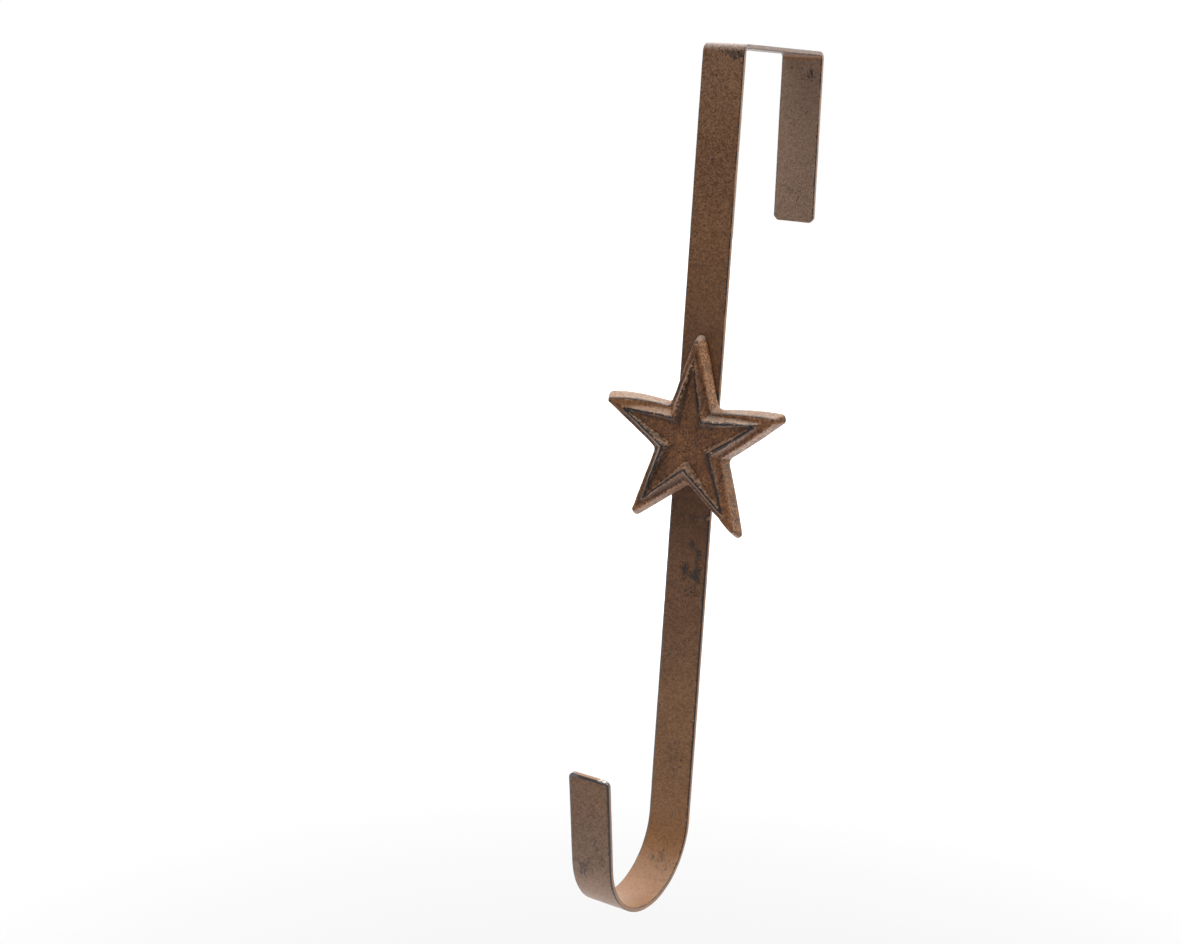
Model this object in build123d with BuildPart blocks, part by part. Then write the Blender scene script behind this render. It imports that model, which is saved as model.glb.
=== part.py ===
from build123d import *
import os
from math import cos, hypot, radians, sin

# Wreath hanger that hooks over the top edge of a door, in millimetres.
# Z is up, X runs along the door's face, and Y points from the room towards the door.
# The origin is the middle of the seat under the top run, on the door's top edge.

# Flat bar
bar_width = 15.0
bar_thick = 1.5
edge_break = 0.3           # rounding of the bar's long edges

# Saddle over the door
door_gap = 49.5            # clear space between the front run and the tab, at the top
bend_radius = 1.25         # inside radius of the two tight bends
tab_length = 53.4          # straight part of the tab behind the door
tab_splay = 3.0            # degrees that the tab opens out from upright
tab_chamfer = 1.4          # clipped corners of the tab's end

# Hook
hanger_drop = 273.5        # from the seat down to the lowest point of the hook
hook_radius = 22.0         # inside radius of the hook's round
lip_length = 31.5          # straight part of the lip in front
lip_flare = 9.0            # degrees that the lip leans outwards
lip_corner = 2.0           # rounded corners of the lip's end

# Cast star. An outline is given by the distance of its points and of its inner corners
# from the middle, before rounding. Heights are measured from the bar's front face.
star_arms = 5
star_drop = 122.5          # from the seat down to the star's middle
back_inset = 0.35          # rounded back edge of the casting
wide_height = 0.8          # the widest outline
wide_point = 38.1
wide_corner = 14.4
step_height = 4.1          # flat step around the raised rim
step_point = 34.5
step_corner = 12.8
step_break = 0.25          # rounding of the step's outer edge
foot_point = 28.9          # foot of the raised rim, on the step
foot_corner = 11.7
crest_point = 26.9         # crest of the rim, which falls from the corners to the points
crest_corner = 9.2
crest_point_height = 4.75
crest_corner_height = 6.3
crest_width = 0.5
floor_height = 4.3         # sunk field inside the rim
floor_point = 24.1
floor_corner = 6.8
wide_round = 1.5           # rounding of the points, outline by outline
step_round = 0.6
rim_round = 0.3
wide_hollow = 2.4          # rounding of the inner corners
step_hollow = 1.4

# Weld beads behind the star, in the corners between its back and the bar's edges
weld_length = 18.0
weld_leg = 1.1
weld_crown = 0.15          # how far the bead bulges past a straight face
weld_end = 0.5             # rounding of the bead's ends
weld_drop = 2.5            # middle of the beads below the star's middle

# Places that follow from the sizes above
front_back_y = -door_gap / 2
front_face_y = front_back_y - bar_thick
star_z = -star_drop
outer_hook_radius = hook_radius + bar_thick
front_run_length = hanger_drop - outer_hook_radius - bend_radius


def face_line(away):
    """Side line of the bent bar, at a distance from the face that looks at the door."""
    bend = bend_radius + away
    top_run = Line((front_back_y + bend_radius, away), (-front_back_y - bend_radius, away))
    rear_bend = JernArc(top_run @ 1, (1, 0), bend, tab_splay - 90)
    tab = Line(rear_bend @ 1, rear_bend @ 1 + (rear_bend % 1) * tab_length)
    front_bend = JernArc(top_run @ 0, (-1, 0), bend, 90)
    front_run = Line(front_bend @ 1, front_bend @ 1 + (front_bend % 1) * front_run_length)
    hook = JernArc(front_run @ 1, front_run % 1, outer_hook_radius - away, lip_flare - 180)
    lip = Line(hook @ 1, hook @ 1 + (hook % 1) * lip_length)
    return tab @ 1, lip @ 1


def short_edges(solid, side_place):
    """The two edges through the bar's thickness at the end whose middle is nearest to a place."""
    middle = Vector(0, side_place.X, side_place.Y)
    end = min(solid.faces(), key=lambda face: (face.center() - middle).length)
    return end.edges().group_by(SortBy.LENGTH)[0]


def star_outline(height, point, corner, rounding, hollow=0):
    """Star on the plane at a height over the bar's front face, one arm up, points rounded."""
    half_arm = radians(180 / star_arms)
    radii = [point, corner] * star_arms
    tips = [(r * sin(k * half_arm), r * cos(k * half_arm)) for k, r in enumerate(radii)]
    middle = (0, front_face_y - height, star_z)
    with BuildSketch(Plane(origin=middle, x_dir=(1, 0, 0), z_dir=(0, -1, 0))) as flat:
        with BuildLine():
            Polyline(*tips, close=True)
        make_face()
        fillet([v for v in flat.vertices() if hypot(v.X, v.Y) > (point + corner) / 2], rounding)
        if hollow:
            fillet([v for v in flat.vertices() if hypot(v.X, v.Y) < (point + corner) / 2], hollow)
    return flat.sketch


def edge_angles(point, corner):
    """Angle between an outline's edges and the radius, at a point and at an inner corner."""
    half_arm = radians(180 / star_arms)
    run = hypot(corner * sin(half_arm), point - corner * cos(half_arm))
    at_point = corner * sin(half_arm) / run
    at_corner = point * sin(half_arm) / run
    return at_point, at_corner


def inset(point, corner, amount):
    """Radii of the outline whose edges lie an amount inside those of the given one."""
    at_point, at_corner = edge_angles(point, corner)
    return point - amount / at_point, corner - amount / at_corner


def carry_on(height, low_height, low_radius, high_height, high_radius):
    """Radius at a height on the straight line through two known levels."""
    slope = (high_radius - low_radius) / (high_height - low_height)
    return low_radius + slope * (height - low_height)


# Bar: one strip of steel, bent twice for the saddle and rolled round for the hook
with BuildPart() as bar:
    with BuildSketch(Plane.YZ):
        with BuildLine():
            tab_inside, lip_outside = face_line(0)
            tab_outside, lip_inside = face_line(bar_thick)
            Line(tab_inside, tab_outside)
            Line(lip_outside, lip_inside)
        make_face()
    extrude(amount=bar_width / 2, both=True)
    chamfer(short_edges(bar, (tab_inside + tab_outside) / 2), tab_chamfer)
    fillet(short_edges(bar, (lip_outside + lip_inside) / 2), lip_corner)
    sides = bar.faces().filter_by(Axis.X)
    fillet([e for e in sides.edges() if e.length > bar_thick], edge_break)
bar.part.label = "bar"

# Raised rim of the star: its crest follows a shallow dome, so it sinks towards the points
dome_rise = crest_corner_height - crest_point_height
from_heights = crest_corner_height**2 - crest_point_height**2
from_radii = crest_corner**2 - crest_point**2
dome_centre = (from_heights + from_radii) / (2 * dome_rise)
dome_radius = hypot(crest_corner, crest_corner_height - dome_centre)
dome_top = dome_centre + dome_radius
inner_point, inner_corner = inset(crest_point, crest_corner, crest_width)

with BuildPart() as rim:
    top_point = carry_on(dome_top, step_height, foot_point, crest_point_height, crest_point)
    top_corner = carry_on(dome_top, step_height, foot_corner, crest_corner_height, crest_corner)
    foot = star_outline(step_height, foot_point, foot_corner, rim_round)
    top = star_outline(dome_top, top_point, top_corner, rim_round)
    loft([foot, top], ruled=True)
    with Locations((0, front_face_y - dome_centre, star_z)):
        Sphere(dome_radius, mode=Mode.INTERSECT)
    mouth_point = carry_on(dome_top, floor_height, floor_point, crest_point_height, inner_point)
    mouth_corner = carry_on(dome_top, floor_height, floor_corner, crest_corner_height, inner_corner)
    field = star_outline(floor_height, floor_point, floor_corner, rim_round)
    mouth = star_outline(dome_top, mouth_point, mouth_corner, rim_round)
    loft([field, mouth], ruled=True, mode=Mode.SUBTRACT)

# Star: one casting, with drafted sides, a flat step and the raised rim around a sunk field
levels = [
    (0, *inset(wide_point, wide_corner, back_inset), wide_round, wide_hollow),
    (wide_height, wide_point, wide_corner, wide_round, wide_hollow),
    (step_height - step_break, step_point, step_corner, step_round, step_hollow),
    (step_height, *inset(step_point, step_corner, step_break), step_round, step_hollow),
]
with BuildPart() as star:
    for low, high in zip(levels, levels[1:]):
        loft([star_outline(*low), star_outline(*high)], ruled=True)
    add(rim.part)
star.part.label = "star"

# Weld beads: one on each edge of the bar, run up the back of the star
beads = []
for side, name in ((-1, "weld_left"), (1, "weld_right")):
    root = Vector(side * bar_width / 2, front_face_y)
    with BuildPart() as bead:
        with BuildSketch(Plane.XY.offset(star_z - weld_drop - weld_length / 2)):
            with BuildLine():
                across = Line(root, root + Vector(side * weld_leg, 0))
                along = Line(root, root + Vector(0, weld_leg))
                bulge = (across @ 1 + along @ 1) / 2 + Vector(side, 1).normalized() * weld_crown
                ThreePointArc(across @ 1, bulge, along @ 1)
            make_face()
        extrude(amount=weld_length)
        skin = bead.faces().filter_by(GeomType.CYLINDER)
        fillet(skin.edges().filter_by(GeomType.CIRCLE), weld_end)
    bead.part.label = name
    beads.append(bead.part)

os.makedirs("parts", exist_ok=True)
for piece in (bar.part, star.part, *beads):
    export_step(piece, f"parts/{piece.label}.step")
    print(piece.label, "volume", round(piece.volume, 1), "valid", piece.is_valid)
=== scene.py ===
from math import acos, ceil, cos, hypot, pi, radians, sin
import bpy
import numpy as np
from mathutils import Matrix, Vector


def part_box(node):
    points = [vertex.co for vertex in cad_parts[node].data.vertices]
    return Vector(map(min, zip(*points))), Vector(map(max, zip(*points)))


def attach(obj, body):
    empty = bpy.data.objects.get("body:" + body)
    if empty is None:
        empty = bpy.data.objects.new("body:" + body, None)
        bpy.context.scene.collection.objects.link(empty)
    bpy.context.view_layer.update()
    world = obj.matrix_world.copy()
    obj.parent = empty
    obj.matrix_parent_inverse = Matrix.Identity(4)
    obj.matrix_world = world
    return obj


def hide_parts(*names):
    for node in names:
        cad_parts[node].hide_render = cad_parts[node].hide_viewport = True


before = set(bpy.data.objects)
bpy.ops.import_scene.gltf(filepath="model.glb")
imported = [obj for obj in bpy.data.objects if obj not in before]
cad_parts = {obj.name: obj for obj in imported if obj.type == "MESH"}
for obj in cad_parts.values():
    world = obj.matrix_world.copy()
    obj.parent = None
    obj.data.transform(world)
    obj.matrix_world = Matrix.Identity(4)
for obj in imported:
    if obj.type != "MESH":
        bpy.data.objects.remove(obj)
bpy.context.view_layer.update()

# Wreath hanger over a door: a flat bar with a saddle and a hook, a cast star in front of
# it and two weld beads behind the star. Shapes are worked out in millimetres, with X
# along the door, Y from the room to the door and Z up, and become metres in the mesh.
mm = 0.001


# lowest and highest corner of a CAD node
def boxInMm(node):
    low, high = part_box(node)
    return np.array(low) / mm, np.array(high) / mm


barLow, barHigh = boxInMm("bar")
starLow, starHigh = boxInMm("star")
frontFace = starHigh[1]               # Y of the bar's face that looks at the room


def addObject(name, data):
    made = bpy.data.objects.new(name, data)
    bpy.context.scene.collection.objects.link(made)
    return made


view = {
    "aim": (-25.74, -46.76, -134.49),  # where the middle of the picture looks
    "distance": 600.9,
    "azimuth": 33.66,                 # degrees, from the front towards the right
    "elevation": 11.73,
    "roll": 3.478,
    "lens": 57.356,
    "sensor": 36.0,                   # width that the lens is given for
    "clip": (0.01, 20.0),             # nearest and farthest seen, in metres
}


# The camera stands off the aim by the distance, turned up by the elevation, round by the
# azimuth and about its own line of sight by the roll.
def placeCamera(values):
    data = bpy.data.cameras.new("camera")
    data.lens = values["lens"]
    data.sensor_width = values["sensor"]
    data.clip_start, data.clip_end = values["clip"]
    camera = addObject("camera", data)
    turn = Matrix.Rotation(radians(values["azimuth"]), 4, "Z")
    tilt = Matrix.Rotation(radians(90 - values["elevation"]), 4, "X")
    lean = Matrix.Rotation(radians(values["roll"]), 4, "Z")
    facing = turn @ tilt @ lean
    aim = Vector(values["aim"]) * mm
    back = facing @ Vector((0, 0, values["distance"] * mm))
    camera.matrix_world = Matrix.Translation(aim + back) @ facing
    bpy.context.scene.camera = camera


placeCamera(view)
print("camera placed")


# Smooth random heights between -1 and 1. Each whole-number place in space has a random
# height, and a point blends the eight around it by the curve 3t^2 - 2t^3.
def softNoise(points, size, seed):
    cell = np.floor(points / size).astype(int)
    part = points / size - cell
    part = part * part * (3 - 2 * part)
    random = np.random.default_rng(seed)
    shuffled = random.permutation(256)
    heights = random.uniform(-1, 1, 256)
    total = np.zeros(points.shape[:-1])
    for corner in np.ndindex(2, 2, 2):
        spot = (cell + corner) & 255
        index = shuffled[(shuffled[spot[..., 0]] + spot[..., 1]) & 255]
        index = shuffled[(index + spot[..., 2]) & 255]
        weight = np.where(np.array(corner) == 1, part, 1 - part).prod(axis=-1)
        total += heights[index] * weight
    return total


# Sum of soft noise of several sizes, each times its share.
def layeredNoise(points, layers, seed):
    return sum(share * softNoise(points, size, seed + k) for k, (size, share) in enumerate(layers))


# Normals of a grid whose columns close on themselves: the cross product of the step
# along the columns and the step along the rows, made one long.
def gridNormals(grid):
    down = np.gradient(grid, axis=0)
    around = np.roll(grid, -1, axis=1) - np.roll(grid, 1, axis=1)
    normal = np.cross(around, down)
    return normal / np.maximum(np.linalg.norm(normal, axis=-1, keepdims=True), 1e-9)


# Closed shell from a grid of rings: neighbours in a ring and in the next ring make a
# four-sided face, and a middle point closes each end with triangles. A shell whose
# signed volume comes out negative is turned, so that its faces point outwards. Each value
# becomes an attribute of the points, and the middle points take the mean of their ring.
def shellFromRings(name, rings, values):
    rows, columns = rings.shape[:2]
    number = np.arange(rows * columns).reshape(rows, columns)
    ahead = np.roll(number, -1, axis=1)
    quads = np.stack([number[:-1], ahead[:-1], ahead[1:], number[1:]], axis=-1).reshape(-1, 4)
    first = np.full(columns, rows * columns)
    startCap = np.stack([first, ahead[0], number[0]], axis=-1)
    endCap = np.stack([first + 1, number[-1], ahead[-1]], axis=-1)
    points = np.vstack([rings.reshape(-1, 3), rings[0].mean(axis=0), rings[-1].mean(axis=0)])
    a, b, c, d = (points[quads[:, k]] for k in range(4))
    volume = (np.cross(b - a, c - a) * a).sum() + (np.cross(c - a, d - a) * a).sum()
    caps = np.vstack([startCap, endCap])
    if volume < 0:
        quads, caps = quads[:, ::-1], caps[:, ::-1]
    mesh = bpy.data.meshes.new(name)
    mesh.from_pydata((points * mm).tolist(), [], quads.tolist() + caps.tolist())
    mesh.polygons.foreach_set("use_smooth", np.ones(len(mesh.polygons), bool))
    for key, value in values.items():
        value = np.broadcast_to(value, (rows, columns))
        flat = np.concatenate([value.reshape(-1), [value[0].mean(), value[-1].mean()]])
        mesh.attributes.new(key, "FLOAT", "POINT").data.foreach_set("value", flat.astype(np.float32))
    mesh.update()
    return addObject(name, mesh)


barShape = {
    "width": barHigh[0] - barLow[0],
    "thick": barHigh[2],              # the seat is at height zero
    "edgeBreak": 0.3,                 # rounding of the long edges
    "bend": 1.25,                     # inside radius of the two tight bends
    "tabLength": 53.4,
    "tabSplay": 3.0,                  # degrees
    "tabChamfer": 1.4,                # clipped corners of the tab
    "drop": -barLow[2],
    "hookRadius": 22.0,               # inside radius
    "lipLength": 31.5,
    "lipFlare": 9.0,                  # degrees
    "lipCorner": 2.0,                 # rounded corners of the lip
    "endBreak": 0.2,                  # rounding of the two end faces
    "spacing": 0.62,                  # between the rows of the mesh
    "bendSpacing": 0.22,
    "fineRows": 14,                   # closer rows at both ends
    "fineReach": 0.3,                 # how far they go past a rounded corner
    "capThick": 0.3,                  # thickness left where an end face closes
    "wave": 0.035,                    # unevenness of the rolled faces
    "waveLayers": ((6.5, 0.6), (2.6, 0.4)),  # its sizes and their shares
    "grain": 0.014,
    "grainSize": 0.9,
    # soft dark marks: X, distance below the seat, reach across, reach down, strength
    "frontMarks": [
        (1.6, 157.0, 1.7, 2.0, 1.2), (-0.4, 165.3, 1.3, 3.2, 1.5), (3.9, 166.4, 1.8, 2.4, 1.5),
        (4.4, 160.5, 1.8, 3.6, 1.0), (2.6, 171.0, 4.0, 4.0, 0.6), (1.0, 147.5, 5.0, 1.3, 0.8),
        (0.0, 1.0, 9.0, 1.6, 0.7), (4.8, 2.2, 3.0, 1.8, 0.9), (6.9, 6.0, 1.0, 5.0, 0.6),
        (6.6, 146.4, 0.55, 0.55, 3.0),
        (-2.0, 8.4, 0.4, 0.4, 2.2), (-1.5, 14.4, 0.4, 0.4, 1.8), (-1.2, 34.0, 0.4, 0.4, 2.6),
        (3.5, 18.3, 0.4, 0.4, 1.8), (0.0, 232.0, 4.5, 15.0, 0.55), (0.0, 190.0, 6.0, 12.0, 0.25),
    ],
    # the same on the tab
    "tabMarks": [(3.0, 6.0, 3.6, 3.6, 1.0), (-1.0, 20.0, 5.0, 9.0, 0.35), (1.0, 46.0, 6.0, 6.0, 0.35)],
    # the same on the hook and, at the same pace, on the lip: X, degrees round the hook,
    # reach across, reach in degrees, strength
    "hookMarks": [
        (0.0, 38.0, 3.4, 7.0, 0.9), (4.2, 44.0, 2.2, 6.0, 0.8), (4.6, 60.0, 2.0, 9.0, 0.7),
        (0.0, 20.0, 5.0, 9.0, 0.3), (-3.6, 164.0, 2.2, 8.0, 0.8), (-1.5, 172.0, 3.0, 9.0, 0.8),
        (4.0, 180.0, 2.4, 16.0, 0.6), (0.0, 120.0, 7.0, 16.0, 0.6), (-2.6, 196.0, 0.9, 3.0, 0.8),
        (1.8, 194.0, 0.9, 2.6, 0.6),
    ],
    # painted shade, or painted light where the strength is negative: distance below the
    # seat, reach down, strength
    "shadeAndLightPlaces": [(149.0, 17.0, 1.0), (100.0, 42.0, 0.5), (184.0, 15.0, 0.3), (215.0, 22.0, -0.4),
                   (272.0, 30.0, -1.9)],
    "shadeAndLightTab": -1.2,                  # the same for the whole tab, here painted light
    "shadeAndLightBack": 0.5,                  # share of it on the side to the door
    # shares of the hook's round between which it fades, inside and outside the round
    "shadeAndLightFade": ((0.6, 1.0), (0.9, 1.15)),
    # how far the worn line on the long edges reaches, at distances below the seat
    "wear": ((0, 80, 140, 150, 230, 274), (0.25, 0.4, 0.55, 1.0, 0.9, 0.35)),
    "lipWear": 0.5,                   # more of it on the right edge of the lip
    # how much grey dust and painted sheen there is on the tab, on the top run, on the lip,
    # outside the hook's round, and at the top of the front run
    "dust": (1.8, 2.5, 0.2, 0.95, 0.4),
    "dustAndSheenInside": 0.3,                # share of it inside the round and behind the tab
    "dustAndSheenTurn": (0.4, 0.75, 1.0, 1.3),  # where it starts, is full, and is as on the lip
    "dustAndSheenDrop": 22.0,                 # how far it reaches down the front run
    "sideShare": 0.45,                # share of the edge rounding that looks like the side
    "sideOnTop": 0.25,                # how much of that look the top run has
    "tipReach": 1.6,                  # worn line before the lip's end
    "endReach": 0.4,                  # paler paint at both ends
}

# the runs of the bar, from the tab's end to the lip's
tabRun, rearBend, topRun, frontBend, frontRun, hookRound, lipRun = range(7)


# Distance by which an end's corner is cut back, at a distance from the end: a clipped
# corner loses what is left of its size, and a round one follows a quarter circle.
def cornerCut(fromEnd, size, rounded):
    left = np.clip(size - fromEnd, 0, size)
    return size - np.sqrt(size ** 2 - left ** 2) if rounded else left


# Section of the bar: a rectangle with quarter circles at its corners, as places across
# and through the thickness, the second positive on the front run's side to the room.
def barSection(shape, faceSteps=24, cornerSteps=3, sideSteps=3):
    halfWidth, halfThick, radius = shape["width"] / 2, shape["thick"] / 2, shape["edgeBreak"]
    flat = np.linspace(-1, 1, faceSteps, endpoint=False) * (halfWidth - radius)
    short = np.linspace(-1, 1, sideSteps, endpoint=False) * (halfThick - radius)
    turn = np.linspace(0, pi / 2, cornerSteps, endpoint=False)
    x, n = [], []
    for quarter, middle in enumerate([(1, 1), (-1, 1), (-1, -1), (1, -1)]):
        angle = turn + quarter * pi / 2
        x.append(middle[0] * (halfWidth - radius) + radius * np.cos(angle))
        n.append(middle[1] * (halfThick - radius) + radius * np.sin(angle))
        if quarter % 2 == 0:
            x.append(-middle[0] * flat)
            n.append(np.full(faceSteps, middle[1] * halfThick))
        else:
            x.append(np.full(sideSteps, middle[0] * halfWidth))
            n.append(-middle[1] * short)
    return np.concatenate(x), np.concatenate(n)


# Middle line of the bar from the tab's end to the lip's end, seen from the side: straight
# runs and round bends. Along a bend the heading turns evenly, and the place is the start
# plus the radius times the change in the sine and the cosine of the heading. Each run's
# row holds the length before it, its Y and Z, its heading and its curve, one over radius.
def barLine(shape):
    tight = shape["bend"] + shape["thick"] / 2
    wide = shape["hookRadius"] + shape["thick"] / 2
    gap = -2 * (frontFace + shape["thick"])
    frontLength = shape["drop"] - shape["hookRadius"] - shape["thick"] - shape["bend"]
    runs = [
        (shape["tabLength"], 0),
        (tight * radians(90 - shape["tabSplay"]), 1 / tight),
        (gap - 2 * shape["bend"], 0),
        (tight * pi / 2, 1 / tight),
        (frontLength, 0),
        (wide * radians(180 - shape["lipFlare"]), -1 / wide),
        (shape["lipLength"], 0),
    ]
    place, heading, gone = np.zeros(2), radians(90 + shape["tabSplay"]), 0.0
    starts, stations = [], []
    for length, curve in runs:
        starts.append((gone, place[0], place[1], heading, curve))
        spacing = shape["bendSpacing"] if curve > 0 else shape["spacing"]
        stations.append(gone + np.linspace(0, length, ceil(length / spacing), endpoint=False))
        if curve:
            after = heading + curve * length
            place = place + np.array([sin(after) - sin(heading), cos(heading) - cos(after)]) / curve
            heading = after
        else:
            place = place + length * np.array([cos(heading), sin(heading)])
        gone += length
    starts = np.array(starts)
    half = shape["thick"] / 2
    starts[:, 1:3] += np.array([frontFace + half - starts[frontRun, 1], half - starts[topRun, 2]])
    return starts, gone, np.concatenate(stations)


# Y, Z and heading at distances along the middle line, from the start of the run that each
# lies in: straight on by the distance, or round the bend as above.
def placesAlong(starts, s):
    k = np.clip(np.searchsorted(starts[:, 0], s, side="right") - 1, 0, len(starts) - 1)
    gone, y, z, heading, curve = starts[k].T
    t = s - gone
    after = heading + curve * t
    safe = np.where(curve == 0, 1, curve)
    y = y + np.where(curve == 0, t * np.cos(heading), (np.sin(after) - np.sin(heading)) / safe)
    z = z + np.where(curve == 0, t * np.sin(heading), (np.cos(heading) - np.cos(after)) / safe)
    return y, z, after


# The bar: its section carried along the middle line. Its half width shrinks at the
# clipped and the rounded end, and the last rings draw in by a quarter circle. Waves and
# grain lower its faces, so that it stays inside its box.
def makeBar(shape):
    starts, total, stations = barLine(shape)
    endBreak, halfWidth, halfThick = shape["endBreak"], shape["width"] / 2, shape["thick"] / 2
    fine = np.linspace(0, shape["lipCorner"] + shape["fineReach"], shape["fineRows"])
    stations = np.concatenate([fine, stations, total - fine])
    between = (stations > endBreak) & (stations < total - endBreak)
    draw = np.sin(np.linspace(0, pi / 2, 4))[:0:-1]
    rise = endBreak * (1 - draw)
    inset = endBreak * (1 - np.sqrt(1 - draw ** 2))
    s = np.unique(np.round(stations[between], 4))
    s = np.concatenate([[0], rise, s, total - rise[::-1], [total]])
    drawn = np.zeros(len(s))
    drawn[1:4] = inset
    drawn[-4:-1] = inset[::-1]
    drawn[[0, -1]] = (shape["thick"] - shape["capThick"]) / 2
    x0, n0 = barSection(shape)
    y, z, heading = placesAlong(starts, s)
    cut = cornerCut(s, shape["tabChamfer"], False) + cornerCut(total - s, shape["lipCorner"], True)
    x = x0 * ((halfWidth - cut - drawn) / halfWidth)[:, None]
    n = n0 * ((halfThick - drawn) / halfThick)[:, None]
    outward = np.stack([np.sin(heading), -np.cos(heading)], axis=-1)
    grid = np.stack([x, y[:, None] + n * outward[:, :1], z[:, None] + n * outward[:, 1:]], axis=-1)
    normals = gridNormals(grid)
    if (normals[len(s) // 2, :, 1] * (n0 > 0)).sum() > 0:
        normals = -normals
    waves, grain = layeredNoise(grid, shape["waveLayers"], 11), softNoise(grid, shape["grainSize"], 13)
    height = shape["wave"] * (waves - 1) + shape["grain"] * (grain - 1)
    height[[0, -1]] = 0
    grid = grid + normals * height[..., None]
    return shellFromRings("hangerBar", grid, barTraces(shape, starts, total, s, x0, n0, grid))


# What the bar's paint reads: distance from the long edges, the thin sides, the worn line
# before the lip's end, the end faces, marks, painted shade and painted light, wear of the
# edges, and grey dust with painted sheen.
# Patches are bell curves of the height, and the rest fades evenly along the bar.
def barTraces(shape, starts, total, s, x0, n0, grid):
    halfWidth, halfThick, radius = shape["width"] / 2, shape["thick"] / 2, shape["edgeBreak"]
    z, inside = grid[..., 2], n0 > 0
    turned = (s - starts[hookRound, 0]) / (starts[lipRun, 0] - starts[hookRound, 0])
    deep = sum(strength * np.exp(-((z + below) / reach) ** 2)
               for below, reach, strength in shape["shadeAndLightPlaces"])
    onInside, onOutside = (np.interp(turned, ends, [1, 0])[:, None] for ends in shape["shadeAndLightFade"])
    deep = deep * np.where(inside, onInside, onOutside * shape["shadeAndLightBack"])
    deep = deep + shape["shadeAndLightTab"] * (s < starts[topRun, 0])[:, None]
    onFace = np.abs(n0) > halfThick - radius
    fromEdge = np.where(onFace, halfWidth - np.abs(x0), 2 * (halfThick - np.abs(n0)))
    onSide = np.abs(x0) > halfWidth - radius * shape["sideShare"]
    tabEnd, topStart, topEnd, frontStart = starts[[rearBend, topRun, frontBend, frontRun], 0]
    # 1 on the top run and a little into the front bend, and down to 0 over the bends
    onTop = np.interp(s, [tabEnd, topStart, topEnd + 0.8, frontStart], [0, 1, 1, 0])[:, None]
    tabDustAndSheen, topDustAndSheen, lipDustAndSheen, roundDustAndSheen, frontDustAndSheen = shape["dust"]
    dust = np.interp(turned, shape["dustAndSheenTurn"], [0, roundDustAndSheen, roundDustAndSheen, lipDustAndSheen])
    dust = np.where(s < tabEnd, tabDustAndSheen, dust)[:, None] * np.where(inside, shape["dustAndSheenInside"], 1)
    dust = dust + topDustAndSheen * onTop
    dust = dust + (frontDustAndSheen * (s > frontStart))[:, None] * np.exp(-(z / shape["dustAndSheenDrop"]) ** 2)
    return {
        "edge": fromEdge,
        "side": onSide * (1 - (1 - shape["sideOnTop"]) * onTop),
        "tip": np.clip(1 - (total - s) / shape["tipReach"], 0, 1)[:, None],
        "end": np.maximum(1 - np.minimum(s, total - s) / shape["endReach"], 0)[:, None],
        "mark": barMarks(shape, starts, s, grid, inside),
        "deep": deep,
        "wear": np.interp(-z, *shape["wear"]) + shape["lipWear"] * (turned > 0.8)[:, None] * (x0 > 0),
        "dust": dust,
    }


# Soft marks on the bar: each is a bell curve about its middle, and they add up. They lie
# where the bar looks at the room: on one side of the front run and of the round's first
# 100 degrees, and on the other side of the lip and the tab. Those of the front run may
# reach back over the top run, to 20 mm from the tab.
def barMarks(shape, starts, s, grid, inside):
    hookTurn = np.degrees((s - starts[hookRound, 0]) * -starts[hookRound, 4])[:, None]
    onFront = ((s > starts[topRun, 0] + 20) & (s < starts[hookRound, 0] + 1))[:, None] & inside
    onTab = (s < starts[topRun, 0])[:, None] & ~inside
    onHook = np.where(hookTurn < 100, inside, ~inside) & (hookTurn > -60)
    total, below = np.zeros(grid.shape[:-1]), -grid[..., 2]
    for name, along, where in (
        ("frontMarks", below, onFront), ("tabMarks", below, onTab), ("hookMarks", hookTurn, onHook),
    ):
        for x, middle, across, reach, strength in shape[name]:
            bell = np.exp(-((grid[..., 0] - x) / across) ** 2 - ((along - middle) / reach) ** 2)
            total += strength * bell * where
    return total


bar = makeBar(barShape)
print("bar made:", len(bar.data.polygons), "faces")

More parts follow.
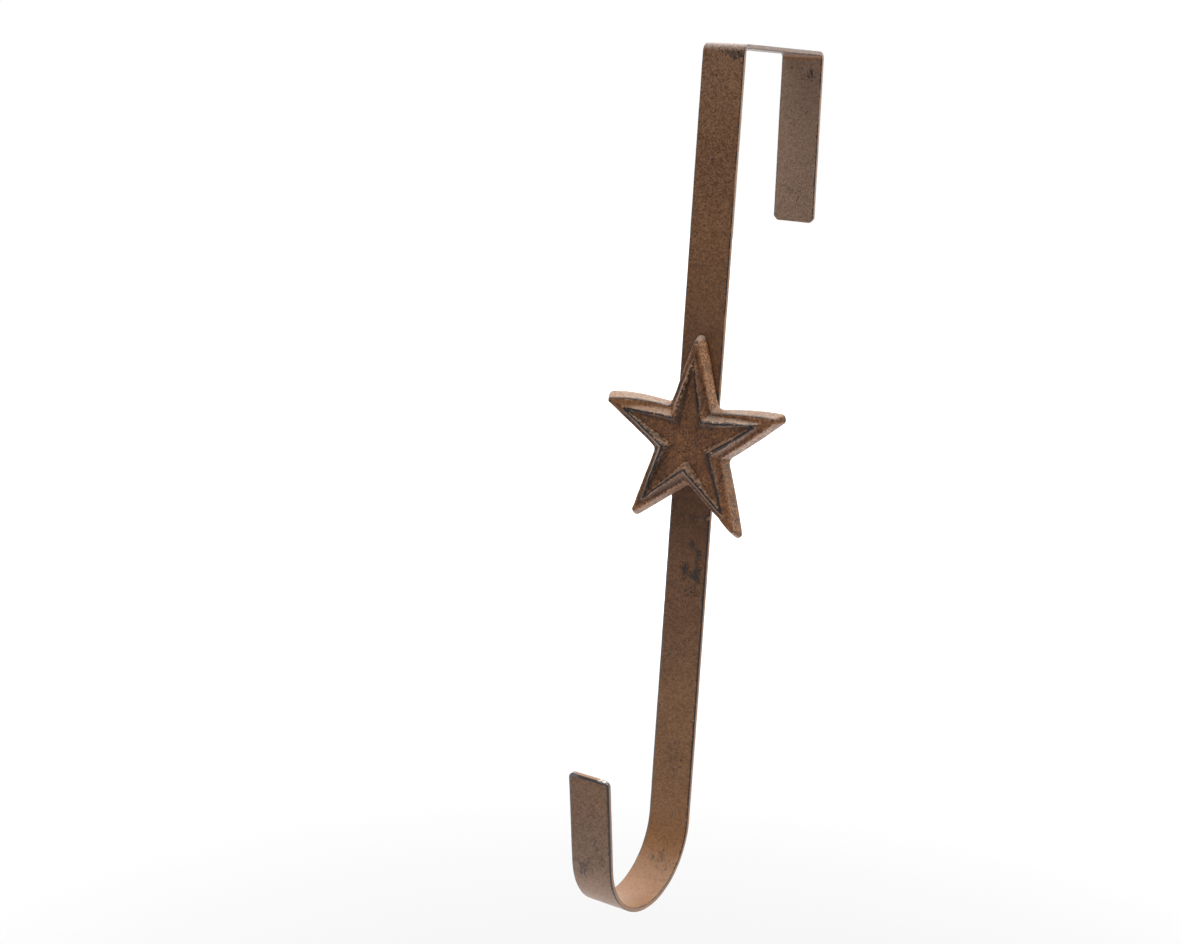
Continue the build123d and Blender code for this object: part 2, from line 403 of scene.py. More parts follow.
starShape = {
    "arms": 5,
    "backInset": 0.35,                # rounded back edge
    "drop": 122.6,                    # from the seat down to the star's middle
    "shift": -0.3,                    # the casting sits a little to the left
    # outlines: how far their points and their inner corners are from the middle
    "wide": (38.1, 14.4),             # the widest one
    "step": (34.0, 12.8),             # edge of the flat step round the raised rim
    "foot": (28.7, 11.7),             # foot of the rim on the step
    "crest": (26.7, 9.2),             # crest of the rim
    "floor": (23.9, 6.8),             # sunk field
    "crestWidth": 0.5,
    # their heights over the back, the crest's at its points and at its corners
    "wideHeight": 0.8,
    "stepHeight": 4.1,
    "crestHeights": (4.75, 6.3),
    "floorHeight": 4.3,
    # rounding of their points and of their inner corners
    "wideRounding": (1.5, 2.4),
    "stepRounding": (0.8, 1.4),
    "rimRounding": (0.4, 0.5),
    # how much longer the widest outline is at each arm, and how far the arm is turned
    # clockwise in degrees: the top arm, right, lower right, lower left and left
    "armReach": (-0.5, 0.4, 0.4, -0.4, -0.3),
    "armTurn": (0.6, -1.9, 1.4, 0.2, -1.7),
    "wideTurn": (0.9, -2.3, 1.4, 0.2, -0.5),  # the same for the widest outline
    # how far the right and the left side of each arm swell outwards half way, in mm
    "armSwell": ((0.4, 0.0), (0.0, 0.9), (0.0, 0.0), (0.0, 0.0), (1.0, 0.0)),
    "armLift": (0.0, 0.0, 0.2, 0.2, 0.8),  # mm by which an arm's point bends to the room
    # half width in mm of the dark line along the crest, on the right and the left half of
    # each arm as its point is turned up, in the same order
    "inkHalves": ((0.50, 0.04), (0.84, 0.72), (0.52, 0.60), (0.66, 0.50), (0.44, 0.62)),
    # rubbed grey places: X, distance below the seat, reach
    "rubbedPlaces": [(1.2, 87.8, 2.3)],
    "tipSteps": 9,                    # mesh columns round half a point
    "edgeSteps": 54,                  # along a straight edge
    "hollowSteps": 5,                 # and round half an inner corner
    # rounding of the section at each level from the back's edge to the field's, and rows
    # of the mesh between the levels
    "sectionReach": (0.25, 1.2, 0.6, 0.9, 0.22, 0.22, 1.3),
    "sectionRows": (16, 3, 10, 5, 5, 1, 5, 26),
    "swell": (1.0, 0.75, 0.25),       # share of the arms' swell: outside, step, foot
    "poleSize": 0.02,                 # the outline's size where the mesh closes
    "grain": 0.06,                    # height of the sand grain
    "grainLayers": ((0.8, 0.7), (1.5, 0.5)),  # its sizes and their shares
    "lumps": 0.08,
    "lumpSize": 4.2,
    "wander": 0.12,                   # sideways unevenness of the lines
    "wanderSize": 3.1,
}


# Outline of the star. Half an arm is an arc about a centre on the arm's axis, a straight
# line, and an arc about a centre on the line that halves the inner corner. The other half
# is its mirror image. An arm's own turn and lift grow along it, so the corners stay put.
def starOutline(shape, point, corner, rounding, hollow, height, widest=False, swell=0.0):
    half = pi / shape["arms"]
    axis, across = np.array([sin(half), cos(half)]), np.array([-cos(half), sin(half)])
    arms = []
    for k, lift in enumerate(shape["armLift"]):
        tip = point + shape["armReach"][k] * widest
        turn = shape["wideTurn" if widest else "armTurn"][k]
        run = hypot(corner * sin(half), tip - corner * cos(half))
        atTip, atCorner = corner * sin(half) / run, tip * sin(half) / run
        sweep = np.linspace(0, acos(atTip), shape["tipSteps"])[:, None]
        middle = np.array([0, tip - rounding / atTip])
        tipArc = middle + rounding * np.hstack([np.sin(sweep), np.cos(sweep)])
        sweep = np.linspace(acos(atCorner), 0, shape["hollowSteps"])[:, None]
        centre = corner + hollow / atCorner
        hollowArc = (centre - hollow * np.cos(sweep)) * axis + hollow * np.sin(sweep) * across
        t = np.linspace(0, 1, shape["edgeSteps"] + 1)[1:-1, None]
        side = np.vstack([tipArc, tipArc[-1] * (1 - t) + hollowArc[0] * t, hollowArc])
        arm = np.vstack([(side * [-1, 1])[-2:0:-1], side])
        near = centre - hollow
        along = np.clip((np.hypot(*arm.T) - near) / (point - near), 0, 1)
        right, left = shape["armSwell"][k]
        arm[:, 0] += swell * np.sin(pi * along) * np.where(arm[:, 0] > 0, right, -left)
        angle = 2 * half * k + radians(turn) * along
        x = arm[:, 0] * np.cos(angle) + arm[:, 1] * np.sin(angle)
        z = arm[:, 1] * np.cos(angle) - arm[:, 0] * np.sin(angle)
        arms.append(np.stack([x, z, height + lift * along ** 2], axis=-1))
    return np.vstack(arms)


# Radii of an outline whose edges lie an amount inside those of the given one: each shrinks
# by the amount over the sine of the angle between its edge and the radius.
def insetOutline(shape, point, corner, amount):
    half = pi / shape["arms"]
    run = hypot(corner * sin(half), point - corner * cos(half))
    return point - amount * run / (corner * sin(half)), corner - amount * run / (point * sin(half))


# Rings across a section: straight between its levels, with each level's corner replaced
# by a quadratic curve that starts and ends a given distance from it, or 0.45 of the way
# to the next level where that is nearer.
def roundedSection(levels, reaches, counts):
    rings, last = [], levels[0]
    t = np.linspace(0, 1, 5)[:-1, None, None]
    for before, corner, after, reach, count in zip(levels, levels[1:], levels[2:], reaches, counts):
        back, onward = before - corner, after - corner
        toBack = np.linalg.norm(back, axis=1, keepdims=True)
        toOnward = np.linalg.norm(onward, axis=1, keepdims=True)
        start = corner + back * np.minimum(reach / toBack, 0.45)
        end = corner + onward * np.minimum(reach / toOnward, 0.45)
        k = np.linspace(0, 1, count, endpoint=False)[:, None, None]
        rings.append(last * (1 - k) + start * k)
        rings.append((1 - t) ** 2 * start + 2 * t * (1 - t) * corner + t ** 2 * end)
        last = end
    k = np.linspace(0, 1, counts[-1], endpoint=False)[:, None, None]
    rings.append(last * (1 - k) + levels[-1] * k)
    return np.concatenate(rings)


# The star: outlines at the levels of the casting, from the middle of its back over the
# drafted sides, the step and the rim to the middle of the sunk field. Sand grain and
# lumps lower its faces, and its lines wander a little.
def makeStar(shape):
    (crestPoint, crestCorner), (pointHeight, cornerHeight) = shape["crest"], shape["crestHeights"]
    between = cornerHeight ** 2 - pointHeight ** 2 + crestCorner ** 2 - crestPoint ** 2
    centre = between / (2 * (cornerHeight - pointHeight))
    radius = hypot(crestCorner, cornerHeight - centre)

    # height of the crest: a shallow dome over the middle
    def domed(outline):
        outline[:, 2] = centre + np.sqrt(radius ** 2 - outline[:, 0] ** 2 - outline[:, 1] ** 2)
        return outline

    outer, rim = shape["wideRounding"], shape["rimRounding"]
    outerSwell, stepSwell, footSwell = shape["swell"]
    backEdge = insetOutline(shape, *shape["wide"], shape["backInset"])
    back = starOutline(shape, *backEdge, *outer, 0, True, outerSwell)
    widest = starOutline(shape, *shape["wide"], *outer, shape["wideHeight"], True, outerSwell)
    step = (*shape["step"], *shape["stepRounding"], shape["stepHeight"])
    stepEdge = starOutline(shape, *step, False, stepSwell)
    foot = starOutline(shape, *shape["foot"], *rim, shape["stepHeight"], False, footSwell)
    crestOut = domed(starOutline(shape, *shape["crest"], *rim, 0))
    crestEdge = insetOutline(shape, *shape["crest"], shape["crestWidth"])
    crestIn = domed(starOutline(shape, *crestEdge, *rim, 0))
    field = starOutline(shape, *shape["floor"], *rim, shape["floorHeight"])
    pole = [shape["poleSize"], shape["poleSize"], 0]
    middle = field * pole + [0, 0, shape["floorHeight"]]
    levels = [back * pole, back, widest, stepEdge, foot, crestOut, crestIn, field, middle]
    flat = roundedSection(levels, shape["sectionReach"], shape["sectionRows"])

    def placed(outline):
        x, z = shape["shift"] + outline[..., 0], outline[..., 1] - shape["drop"]
        return np.stack([x, frontFace - outline[..., 2], z], axis=-1)

    # the lines wander from 1.2 mm in front of the bar, and in full 1.5 mm further out
    grid = placed(flat)
    inFront = np.clip((frontFace - 1.2 - grid[..., 1]) / 1.5, 0, 1)
    grid[..., 0] += shape["wander"] * inFront * softNoise(grid, shape["wanderSize"], 24)
    grid[..., 2] += shape["wander"] * inFront * softNoise(grid, shape["wanderSize"], 25)
    normals = gridNormals(grid)
    if normals[5, 0, 1] < 0:    # the sixth ring is on the back, which looks at the door
        normals = -normals
    rough = 0.45 + 0.55 * np.clip(1 - np.abs(normals[..., 1]), 0, 1)
    grain, lumps = layeredNoise(grid, shape["grainLayers"], 21), softNoise(grid, shape["lumpSize"], 23)
    row = np.arange(len(grid))[:, None]
    onBack = row < shape["sectionRows"][0] + 2
    height = shape["grain"] * rough * (grain - 0.6) + shape["lumps"] * (lumps - 1) * 0.5
    height = np.where(onBack, np.minimum(height, 0), height)
    grid = grid + normals * height[..., None]
    grid[..., 1] = np.clip(grid[..., 1], starLow[1], frontFace)

    # distance along the section from a level's line
    def awayFrom(outline):
        away = np.linalg.norm(grid - placed(outline), axis=-1)
        return away - away.min(axis=0)

    # width of the dark line, which changes over 6 degrees at the middle of each arm
    sector = 360 / shape["arms"]
    angle = np.degrees(np.arctan2(middle[:, 0], middle[:, 1]) + pi / shape["arms"]) % 360
    arm, turned = np.divmod(angle, sector)
    halves = np.array(shape["inkHalves"])[arm.astype(int) % shape["arms"]]
    toRight = np.clip((turned - sector / 2) / 3, -1, 1) / 2 + 0.5
    # the way out of the star at each column: normals of a wall raised on the step's edge
    outward = gridNormals(np.stack([stepEdge, stepEdge * [1, 1, 0] + [0, 0, 9]]))[0]
    outward = outward * np.sign((outward[:, :2] * stepEdge[:, :2]).sum(axis=1))[:, None]
    rubbed = sum(np.exp(-((grid[..., 0] - x) ** 2 + (grid[..., 2] + below) ** 2) / reach ** 2)
                 for x, below, reach in shape["rubbedPlaces"])
    outside = row < awayFrom(crestOut).argmin(axis=0)
    values = {
        "crest": np.minimum(awayFrom(crestOut), awayFrom(crestIn)),
        "ink": halves[:, 0] * toRight + halves[:, 1] * (1 - toRight),
        "rubbed": rubbed,
        "lipUp": np.clip(outward[:, 1], 0, 1) * outside,
        "inner": ~outside,
        "left": -outward[:, 0],
        "stepEdge": awayFrom(stepEdge),
        "skirt": row < awayFrom(stepEdge).argmin(axis=0),
        "foot": np.minimum(awayFrom(foot), awayFrom(field)),
        "far": np.hypot(grid[..., 0] - shape["shift"], grid[..., 2] + shape["drop"]) / shape["wide"][0],
        "up": normals[..., 2],
        "facing": np.abs(normals[..., 1]),
    }
    return shellFromRings("hangerStar", grid, values)


star = makeStar(starShape)
print("star made:", len(star.data.polygons), "faces")

beadShape = {
    "pitch": 1.5,                     # from one ripple to the next
    "dip": 0.16,                      # depth of the hollows between ripples
    "sag": 0.5,                       # how far a ripple's middle runs ahead
    "taper": 0.8,                     # length over which its ends round off
    "sectionSteps": 14,
    "spacing": 0.14,
}


# A weld bead in a corner: a quarter round whose reach swells and dips along its length
# like the rows of coins that a weld leaves, each row bowed forward in its middle. The
# powers make the hollows between the coins narrower and the round a little fuller.
def makeBead(name, shape, node):
    low, high = boxInMm(node)
    side = 1 if low[0] + high[0] > 0 else -1
    rootX = min(abs(low[0]), abs(high[0]))
    reach = high[1] - low[1]
    z = np.linspace(low[2], high[2], int((high[2] - low[2]) / shape["spacing"]))
    angle = np.linspace(0, pi / 2, shape["sectionSteps"])
    bow = shape["sag"] * np.sin(2 * angle)
    phase = (z[:, None] - low[2] - bow) / shape["pitch"]
    ripple = np.abs(np.sin(pi * phase)) ** 0.7
    fromEnd = np.minimum(z - low[2], high[2] - z)
    taper = np.sqrt(np.clip(1 - (1 - np.clip(fromEnd / shape["taper"], 0, 1)) ** 2, 0.02, 1))
    full = reach * (1 - shape["dip"] * (1 - ripple)) * taper[:, None]
    full = full * (0.97 + 0.03 * softNoise(np.stack([z, 0 * z, 0 * z], axis=-1), 2.0, 31))[:, None]
    x = side * (rootX + full * np.cos(angle) ** 0.85)
    y = frontFace + full * np.sin(angle) ** 0.85
    root = np.stack([np.full(len(z), side * rootX), np.full(len(z), frontFace), z], axis=-1)[:, None]
    grid = np.concatenate([root, np.stack([x, y, z[:, None] + 0 * x], axis=-1)], axis=1)
    hollow = np.concatenate([np.ones((len(z), 1)), 1 - ripple], axis=1)
    return shellFromRings(name, grid, {"hollow": hollow})


spatterShape = {
    "place": (6.85, 147.15),          # X and distance below the seat
    "radius": 0.45,
    "height": 0.36,
    "skirt": 0.3,                     # how far its foot runs out
    "sunk": 0.03,                     # how far it sits in the bar's face
    "uneven": 0.1,                    # by how much of its radius it is out of round
    "rings": 9,
    "columns": 20,
}


# A drop of spatter: a half ball, flattened to its height, whose foot runs out on the bar.
# Ring by ring, its radius and height follow the cosine and the sine of one quarter turn.
def makeSpatter(shape):
    angle = np.linspace(0.02, pi / 2, shape["rings"])[:, None]
    around = np.linspace(0, 2 * pi, shape["columns"], endpoint=False)[None, :]
    foot = shape["radius"] + shape["skirt"]
    radius = np.vstack([[[foot]], shape["radius"] * np.cos(angle)[:-1], [[0.02]]])
    height = np.vstack([[[-0.02]], shape["height"] * np.sin(angle)])
    radius = radius * (1 + shape["uneven"] * np.sin(2 * around + 1))
    x = shape["place"][0] + radius * np.cos(around)
    z = -shape["place"][1] + radius * np.sin(around)
    grid = np.stack([x, frontFace + shape["sunk"] - height + 0 * x, z], axis=-1)
    return shellFromRings("spatter", grid, {"hollow": np.linspace(-0.3, 1.4, len(grid))[:, None]})


spatter = makeSpatter(spatterShape)

beads = {node: makeBead(name, beadShape, node)
         for name, node in (("beadLeft", "weld_left"), ("beadRight", "weld_right"))}
print("beads made")


# A socket that can be used in sums: an expression on such values adds its Math nodes.
class Signal:
    def __init__(self, paint, socket):
        self.paint = paint
        self.socket = socket

    def __add__(self, other):
        return self.paint.math("ADD", self, other)

    def __sub__(self, other):
        return self.paint.math("SUBTRACT", self, other)

    def __rsub__(self, other):
        return self.paint.math("SUBTRACT", other, self)

    def __mul__(self, other):
        return self.paint.math("MULTIPLY", self, other)

    __radd__ = __add__
    __rmul__ = __mul__


# A material, or the surroundings, and the nodes that are added to it.
class Paint:
    def __init__(self, name, kind=bpy.data.materials):
        self.material = kind.new(name)
        self.material.use_nodes = True
        self.tree = self.material.node_tree
        self.tree.nodes.clear()

    # adds a node from its type, its settings and its inputs, and gives back one output
    def node(self, kind, settings, inputs, output=0):
        made = self.tree.nodes.new("ShaderNode" + kind)
        for key, value in settings.items():
            setattr(made, key, value)
        for key, value in inputs.items():
            if isinstance(value, Signal):
                self.tree.links.new(value.socket, made.inputs[key])
            else:
                made.inputs[key].default_value = value
        return Signal(self, made.outputs[output]) if made.outputs else None

    def math(self, operation, *values):
        return self.node("Math", {"operation": operation}, dict(enumerate(values)))

    def smallest(self, a, b):
        return self.math("MINIMUM", a, b)

    def largest(self, a, b):
        return self.math("MAXIMUM", a, b)

    # 0 below low and 1 above high, with a smooth rise between, or the other way round
    def rise(self, value, low, high):
        settings = {"interpolation_type": "SMOOTHSTEP"}
        return self.node("MapRange", settings, {"Value": value, "From Min": low, "From Max": high})

    def fall(self, value, low, high):
        return 1 - self.rise(value, low, high)

    def mix(self, share, a, b):
        settings = {"data_type": "RGBA"}
        return self.node("Mix", settings, {0: share, 6: colour(a), 7: colour(b)}, 2)

    # a colour times a number
    def dim(self, base, factor):
        return self.node("VectorMath", {"operation": "SCALE"}, {0: base, "Scale": factor})

    # values that the mesh carries, from their names with spaces between
    def attributes(self, names):
        return [self.node("Attribute", {"attribute_name": name}, {}, "Fac") for name in names.split()]

    # places in the object, and how far to the right of its middle, in millimetres
    def places(self):
        return self.node("TexCoord", {}, {}, "Object")

    def across(self):
        return self.node("SeparateXYZ", {}, {0: self.places()}, "X") * (1 / mm)

    # 1 for what the camera sees directly, and 1 for what shows in reflections
    def rays(self):
        return [self.node("LightPath", {}, {}, name) for name in ("Is Camera Ray", "Is Glossy Ray")]

    # a texture's output, with grains or cells about a size across, in millimetres
    def pattern(self, kind, size, output, **inputs):
        inputs = {"Vector": self.places(), "Scale": 1 / (size * mm), **inputs}
        return self.node("Tex" + kind, {}, inputs, output)

    # smooth random pattern
    def noise(self, size, detail=2):
        return self.pattern("Noise", size, "Fac", Detail=detail)

    # a random number for each grain
    def grains(self, size):
        pick = self.pattern("Voronoi", size, "Color")
        return self.node("SeparateColor", {}, {"Color": pick}, "Red")

    # round specks in a share of the cells, with a soft edge
    def specks(self, size, share, radius):
        reach = self.rise(self.grains(size), 1 - share, 1) * radius
        return self.rise(reach - self.pattern("Voronoi", size, "Distance"), 0, radius * 0.35)

    # surface from its colour, roughness, height in millimetres and gloss
    def surface(self, base, roughness, height, gloss):
        bump = self.node("Bump", {}, {"Strength": 1.0, "Distance": mm, "Height": height})
        inputs = {"Base Color": base, "Roughness": roughness, "Normal": bump, "Specular IOR Level": gloss}
        shader = self.node("BsdfPrincipled", {}, inputs)
        self.node("OutputMaterial", {}, {"Surface": shader})
        return self.material


# a colour as a socket wants it: a link as it is, and three numbers with their alpha
def colour(value):
    return value if isinstance(value, Signal) else (*value, 1)


barFinish = {
    "red": (0.125, 0.050, 0.0215),
    "orange": (0.180, 0.083, 0.031),
    "dust": (0.185, 0.140, 0.118),    # greyer paint: grey dust, and painted sheen on the top run, the tab and under the hook
    "ashAndBounce": (0.105, 0.086, 0.074),     # greyer grains
    "worn": (0.020, 0.021, 0.026),    # dark metal where the paint has worn
    "steel": (0.095, 0.105, 0.125),   # the same on the left edges, brighter: worn metal with a painted glint
    "speck": (0.030, 0.026, 0.026),
    "edge": (0.235, 0.120, 0.056),    # thin sides, where the paint is paler
    "chip": (0.62, 0.58, 0.54),       # bare bright metal on the lip
    "mottle": 0.14,                   # how strongly the tone changes over a mm or two
    "grit": 1.05,                     # over about half a mm
    "sand": 0.7,                      # and from grain to grain
    "gloss": 0.36,
}


def barPaint(tones):
    paint = Paint("barPaint")
    edge, side, end, tip = paint.attributes("edge side end tip")
    mark, deep, wear, dust = paint.attributes("mark deep wear dust")
    across = paint.across()
    cloud, sand = paint.noise(6, 3), paint.grains(0.5)
    mottle, grit = paint.noise(1.8, 2), paint.noise(0.56, 2)
    tone = paint.rise(paint.noise(36, 1) * 0.85 + cloud * 0.15, 0.1, 0.75)
    # painted shade makes the paint redder and darker here and below, and painted light, where negative,
    # more orange and lighter
    base = paint.mix(tone * (1 - deep * 0.8), tones["red"], tones["orange"])
    smooth = 1 - paint.smallest(paint.largest(deep, deep * -0.4), 1) * 0.5
    # grey dust; on the top run, the tab and outside the hook's round mostly painted sheen
    base = paint.mix(dust * 0.3, base, tones["dust"])
    base = paint.mix(paint.grains(0.5) * smooth * 0.2, base, tones["ashAndBounce"])
    shade = (mottle - 0.5) * tones["mottle"] + (grit - 0.5) * tones["grit"]
    shade = 1 + (shade + (sand - 0.5) * tones["sand"]) * smooth
    smudge = paint.rise(paint.noise(2.6, 3) + mark * 0.3, 0.62, 0.9)
    base = paint.dim(base, shade - deep * 0.25 - smudge * 0.4)
    spots = paint.rise(paint.noise(0.9, 2) + mark * 0.21, 0.70, 0.76)
    pits = paint.specks(3.4, 0.25, 0.2)
    base = paint.mix(paint.largest(pits * 0.75, spots * 0.85), base, tones["speck"])
    ragged = edge + (paint.noise(1.1, 3) - 0.5) * 1.2
    line = paint.fall(ragged - wear * 0.42, 0.1, 0.36)
    line = line * paint.rise(paint.noise(11, 2) + wear * 0.1, 0.36, 0.46)
    lipLine = paint.rise(tip + (grit - 0.5) * 0.9, 0.15, 0.35)
    bare = paint.largest(side, paint.rise(end, 0.3, 0.7))
    sideTone = paint.dim(tones["edge"], 1 + (grit - 0.5) * 0.8 + (cloud - 0.5) * 0.8)
    base = paint.mix(bare * 0.95, base, sideTone)
    # the worn line is dark on the right edge and a paler painted glint on the left
    metal = paint.mix(paint.fall(across, -5, -3), tones["worn"], tones["steel"])
    base = paint.mix(paint.largest(line, lipLine * (1 - end)) * 0.9, base, metal)
    chips = paint.rise(grit + tip * 0.15, 0.6, 0.66) * paint.rise(tip, 0.5, 0.7)
    base = paint.mix(chips * paint.rise(across, 3, 4.5), base, tones["chip"])
    roughness = 0.43 + (cloud - 0.5) * 0.2 + (grit - 0.5) * 0.2
    roughness = roughness - line * 0.1 - paint.rise(dust, 1.1, 1.8) * 0.08
    height = mottle * 0.015 + grit * 0.06 + sand * 0.02 - pits * 0.06 - spots * 0.02
    return paint.surface(base, roughness, height, tones["gloss"])


starFinish = {
    "dark": (0.118, 0.048, 0.021),
    "brown": (0.175, 0.073, 0.028),
    "light": (0.255, 0.116, 0.041),
    "pale": (0.40, 0.265, 0.175),     # painted highlight on the faces that look up and on up-facing slopes
    "ashAndBounce": (0.36, 0.285, 0.25),       # painted light from below, greyish, on the faces under the arms that look down
    "glint": (0.37, 0.22, 0.135),     # thin painted highlight lines beside the dark ones
    "worn": (0.015, 0.015, 0.018),
    "steel": (0.090, 0.098, 0.120),
    "speck": (0.026, 0.019, 0.017),
    "grey": (0.21, 0.195, 0.19),      # rubbed tip of the top arm
    "gloss": 0.36,
}


def starPaint(tones):
    paint = Paint("starPaint")
    crest, stepEdge, foot, far, up, facing = paint.attributes("crest stepEdge foot far up facing")
    left, lipUp, skirt, inner, rubbed, ink = paint.attributes("left lipUp skirt inner rubbed ink")
    cloud, mottle, grit = paint.noise(6, 2), paint.noise(1.7, 2), paint.noise(0.8, 2)
    sand, coarse = paint.grains(0.4), paint.grains(0.52)
    across = paint.across()
    wall = paint.fall(facing, 0.45, 0.75)
    upward, downward = paint.rise(up, 0.3, 0.85), paint.rise(0 - up, 0.35, 0.85)
    plain = 1 - upward * 0.55 - downward * 0.4    # the sand shows least on the paler sides
    base = paint.mix(paint.rise(cloud, 0.36, 0.64), tones["dark"], tones["brown"])
    # the sides are painted lighter and grainy: powdery paint and painted light
    lighter = wall * (0.3 + sand * 0.4) * (1 - downward * 0.8) * (0.5 + skirt * 0.5)
    base = paint.mix(lighter, base, tones["light"])
    base = paint.mix(paint.rise(coarse, 0.80, 0.9) * (0.25 + wall * 0.5) * plain, base, tones["light"])
    outer = paint.rise(far + (grit - 0.5) * 0.4, 0.3, 0.6)
    # painted highlight on the faces that look up, stronger further from the middle
    base = paint.mix(upward * (0.3 + outer * 0.4 + (1 - skirt) * 0.2), base, tones["pale"])
    # painted shade on the skirt's faces that look up, more to the right
    base = paint.dim(base, 1 - upward * skirt * (0.1 + paint.rise(across, 2, 8) * 0.14))
    # painted light on the faces that look down, more to the right
    base = paint.mix(downward * (0.22 + paint.rise(across, 6, 14) * 0.35), base, tones["ashAndBounce"])
    # painted shade on the sides that look neither up nor down, most far to the right
    sideways = wall * (1 - upward) * (1 - downward)
    base = paint.dim(base, 1 + sideways * (skirt * 0.1 - 0.15 - paint.rise(across, 6, 10) * 0.32))
    # painted light on everything outside the crest, except the faces that look up
    base = paint.dim(base, 1 + (1 - inner) * (1 - upward) * 0.22)
    # painted highlight in broken dashes on the inner slopes that look up
    upSlopeHighlight = paint.rise(up, 0.06, 0.3) * inner * paint.rise(paint.noise(1.1, 3), 0.43, 0.53)
    base = paint.mix(upSlopeHighlight * 0.6, base, paint.mix(cloud, tones["light"], tones["pale"]))
    rough = (sand - 0.5) * (0.85 + wall * 0.3) + (grit - 0.5) * 1.6 + (mottle - 0.5) * 0.2
    base = paint.dim(base, 1 + rough * plain)
    spots = paint.rise(1 - coarse + (grit - 0.5) * 0.6 + wall * 0.12, 0.88, 0.97) * plain
    base = paint.mix(spots * 0.62, base, tones["speck"])
    ragged = (paint.noise(1.0, 3) - 0.5) * 1.5
    lit = paint.rise(lipUp, 0.6, 0.9)             # the step of the arms' upper sides, which gets painted light
    litStep = lit * paint.fall(across, -4, 4)
    # painted light on that step, towards the left
    base = paint.mix(litStep * (1 - wall) * 0.3, base, tones["light"])
    # painted shade in the creases at the rim's foot and the field's edge, weaker on lit steps,
    # highlighted slopes and far right
    shaded = (1 - upSlopeHighlight) * (1 - litStep * 0.75) * (0.5 - paint.rise(across, 8, 12) * 0.25)
    base = paint.dim(base, 1 - paint.fall(foot + ragged * 0.7, 0.2, 2.6) * shaded)
    rim = paint.rise(ink - crest - ragged - (grit - 0.5) * 1.2, 0, 0.2)
    rim = rim * paint.rise(paint.noise(1.8, 2), 0.3, 0.42)
    patches = paint.rise(paint.noise(4, 2) + lit * 0.1, 0.36, 0.5)
    lip = paint.fall(stepEdge + ragged * (1 - lit * 0.4) - lit * 0.2, 0.1, 0.35) * patches
    # painted highlight lines beside the crest and the step's edge, not on right-facing sides
    glint = paint.fall(paint.smallest(crest, stepEdge) + ragged, 0.75, 1.0) * paint.rise(grit, 0.48, 0.6)
    base = paint.mix(glint * paint.rise(left, -0.9, -0.75) * 0.55, base, tones["glint"])
    # worn step edge on the left-facing sides, steel grey as a painted glint
    base = paint.mix(lip * paint.rise(left, 0.5, 0.9) * 0.8, base, tones["steel"])
    base = paint.mix(lip * lit * 0.75, base, tones["worn"])
    base = paint.mix(rim * 0.93, base, tones["worn"])
    base = paint.mix(rubbed * paint.rise(grit + rubbed * 0.15, 0.5, 0.65) * 0.7, base, tones["grey"])
    roughness = 0.46 + (cloud - 0.5) * 0.2 + (grit - 0.5) * 0.2 - rim * 0.1
    height = mottle * 0.04 + grit * 0.08 + sand * 0.03 - spots * 0.04
    return paint.surface(base, roughness, height, tones["gloss"])


beadFinish = {
    "dark": (0.055, 0.032, 0.024),
    "brown": (0.135, 0.074, 0.045),
    "light": (0.22, 0.14, 0.095),
    "gloss": 0.5,
}


def beadPaint(tones):
    paint = Paint("beadPaint")
    hollow, = paint.attributes("hollow")
    cloud, fine = paint.noise(1.4, 3), paint.noise(0.35, 2)
    base = paint.mix(paint.rise(cloud, 0.3, 0.7), tones["brown"], tones["light"])
    base = paint.mix(paint.rise(hollow + (fine - 0.5) * 0.4, 0.25, 0.8) * 0.8, base, tones["dark"])
    return paint.surface(base, 0.48 + fine * 0.1, fine * 0.03, tones["gloss"])


bar.data.materials.append(barPaint(barFinish))
star.data.materials.append(starPaint(starFinish))
beadMaterial = beadPaint(beadFinish)
for bead in (*beads.values(), spatter):
    bead.data.materials.append(beadMaterial)

for piece, node, slot in (
    (bar, "bar", "bar_finish"), (star, "star", "star_finish"),
    (beads["weld_left"], "weld_left", "weld_finish"), (beads["weld_right"], "weld_right", "weld_finish"),
):
    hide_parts(node)
    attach(piece, "root")
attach(spatter, "root")
print("materials made")

studio = {
    "floorDrop": 140.0,               # mm from the hook down to the floor
    "floorSize": 8.0,                 # metres
    "floorTone": (0.74, 0.74, 0.74),
    "floorSeen": 0.63,                # share of it that the camera sees
    "floorMirror": 0.12,              # share that mirrors, towards the room
    "floorLight": 0.2,                # white that the floor gives off all round
    "floorGlow": (0.0, 1.0),          # and more of it for the camera, near and far
    "glowReach": (0.35, 1.3),         # metres from the object for near and far
    "backdrop": 1.0,                  # brightness of the surroundings in the picture
    # light from all round: towards the room, and from the other sides
    "air": (0.12, 0.78),
    "mirrored": (0.04, 2.8),          # the same in reflections
    # lamps: place and aim in mm, size in metres, power in watts
    "lamps": {
        "key": ((-500, -800, 1300), (0, -30, -130), (1.4, 1.2), 20.0),
        "over": ((0, 300, 1300), (0, -30, -130), (1.4, 1.2), 26.0),
        "right": ((1000, 0, 50), (0, -30, -130), (0.7, 1.0), 3.2),
    },
}


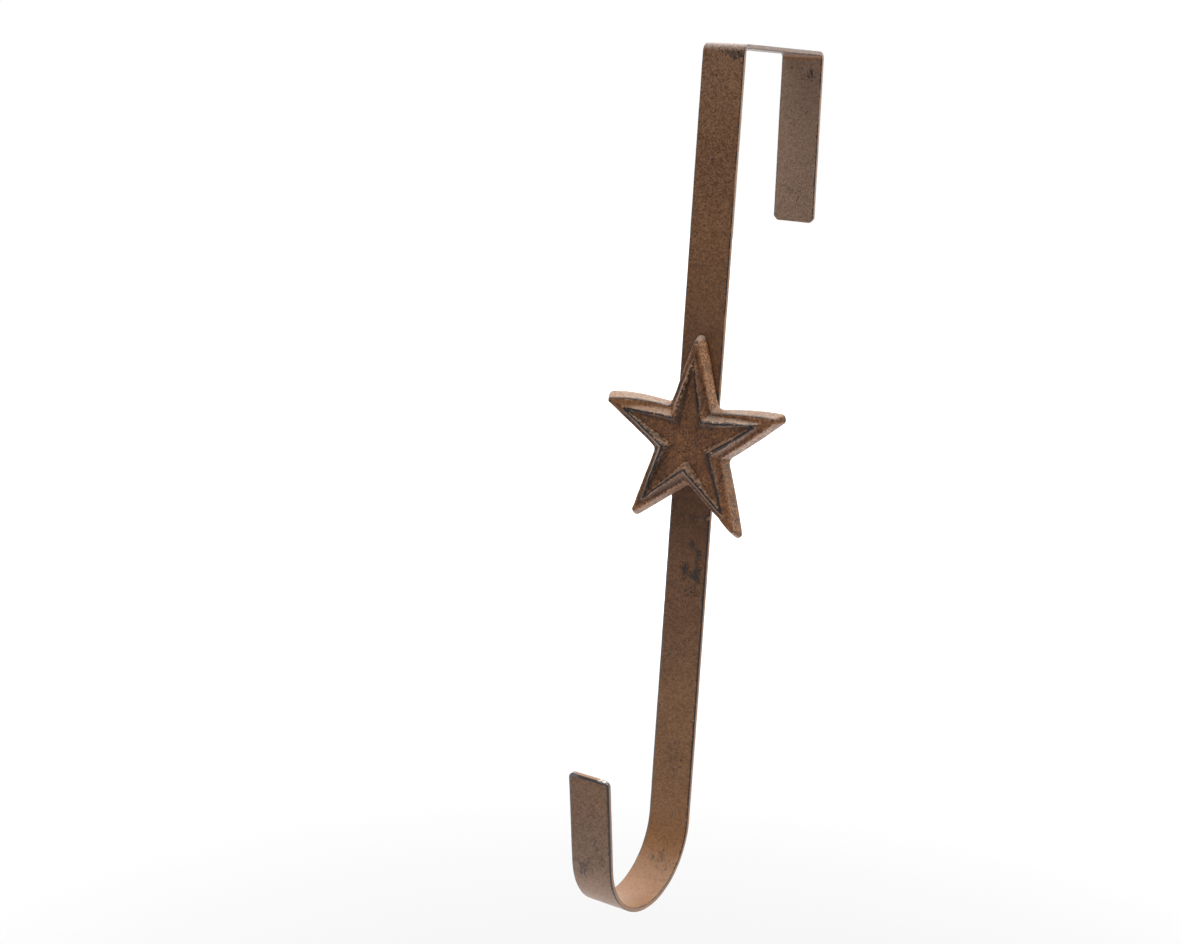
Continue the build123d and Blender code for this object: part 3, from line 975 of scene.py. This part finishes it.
# Floor: plain and pale. For the camera, white is added to it, little near the object, so
# that its shadow shows, and more further out. Reflections see less of it towards the room.
def makeFloor(values):
    size, low = values["floorSize"] / 2, (barLow[2] - values["floorDrop"]) * mm
    mesh = bpy.data.meshes.new("floor")
    corners = [(-size, -size, low), (size, -size, low), (size, size, low), (-size, size, low)]
    mesh.from_pydata(corners, [], [(0, 1, 2, 3)])
    floor = addObject("floor", mesh)
    paint = Paint("floorPaint")
    seen, mirrored = paint.rays()
    y = paint.node("SeparateXYZ", {}, {0: paint.places()}, "Y")
    away = paint.node("VectorMath", {"operation": "LENGTH"}, {0: paint.places()}, "Value")
    (near, far), (first, last) = values["floorGlow"], values["glowReach"]
    glow = near + paint.rise(away, first, last) * (far - near)
    unseen = 1 - seen * (1 - values["floorSeen"])
    share = unseen - mirrored * paint.fall(y, -0.45, -0.15) * (1 - values["floorMirror"])
    matt = paint.node("BsdfDiffuse", {}, {"Color": paint.dim(values["floorTone"], share)})
    strength = values["floorLight"] * share + seen * glow
    light = paint.node("Emission", {}, {"Color": (1, 1, 1, 1), "Strength": strength})
    both = paint.node("AddShader", {}, {0: matt, 1: light})
    paint.node("OutputMaterial", {}, {"Surface": both})
    mesh.materials.append(paint.material)


# Surroundings: white for the camera, and a soft light that is weaker from the room's side,
# where the direction's Y is negative, than from the rest.
def makeAir(values):
    paint = Paint("air", bpy.data.worlds)
    bpy.context.scene.world = paint.material
    direction = paint.node("TexCoord", {}, {}, "Generated")
    y = paint.node("SeparateXYZ", {}, {0: direction}, "Y")
    behind = paint.rise(y, -0.4, 0.4)
    toCamera, mirrored = paint.rays()

    def level(pair):
        return pair[0] + behind * (pair[1] - pair[0])

    soft = level(values["air"]) * (1 - mirrored) + level(values["mirrored"]) * mirrored
    strength = soft * (1 - toCamera) + toCamera * values["backdrop"]
    light = paint.node("Background", {}, {"Color": (1, 1, 1, 1), "Strength": strength})
    paint.node("OutputWorld", {}, {"Surface": light})


# Lamps: rectangles that light what they aim at.
def makeLamps(values):
    for name, (place, aim, size, power) in values["lamps"].items():
        data = bpy.data.lights.new(name, "AREA")
        data.shape = "RECTANGLE"
        data.size, data.size_y = size
        data.energy = power
        lamp = addObject(name, data)
        lamp.location = Vector(place) * mm
        lamp.rotation_euler = (Vector(aim) - Vector(place)).to_track_quat("-Z", "Y").to_euler()


makeFloor(studio)
makeAir(studio)
makeLamps(studio)
bpy.context.scene.view_settings.view_transform = "Standard"
print("studio made")
